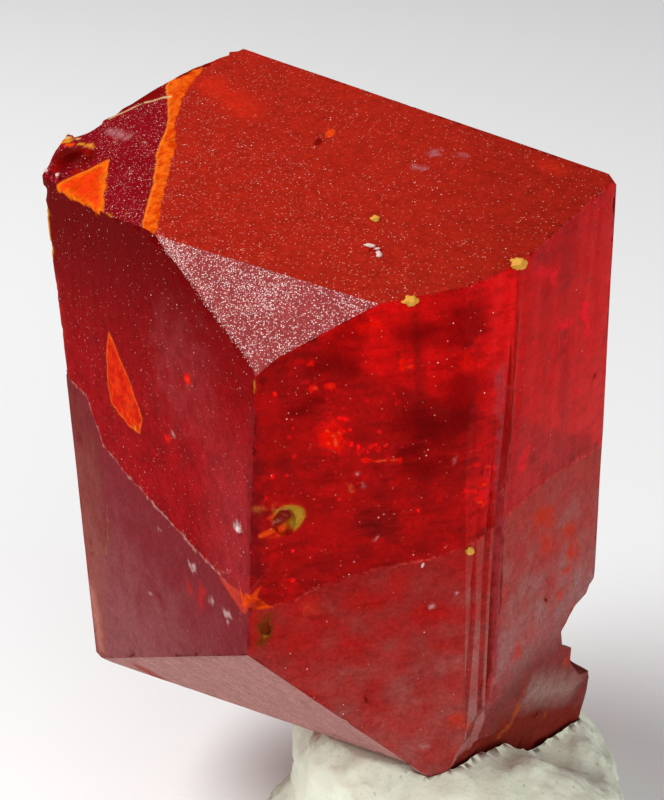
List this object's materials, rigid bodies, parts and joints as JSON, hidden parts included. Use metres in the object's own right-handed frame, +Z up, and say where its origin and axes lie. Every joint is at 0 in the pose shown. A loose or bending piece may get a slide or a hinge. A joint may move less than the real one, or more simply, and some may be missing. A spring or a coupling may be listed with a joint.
{
  "type": "realgar specimen",
  "caption": "Block-shaped, see-through red realgar crystal held upright by the lump of mounting putty that its broken end is pressed into.",
  "frame": {"origin": "middle of the bounding box on the flat underside of the putty", "axes": "+Z up as the specimen stands, the front vertical edge of the crystal faces -Y, the broken end is at +X"},
  "size_m": [0.0248, 0.022, 0.0315],
  "materials": {
    "realgar": "resinous, frosted on the top and the small facets",
    "putty": "matte, kneaded, slightly soiled"
  },
  "bodies": {
    "root": {"realgar_crystal": "realgar", "mounting_putty": "putty"}
  },
  "joints": []
}
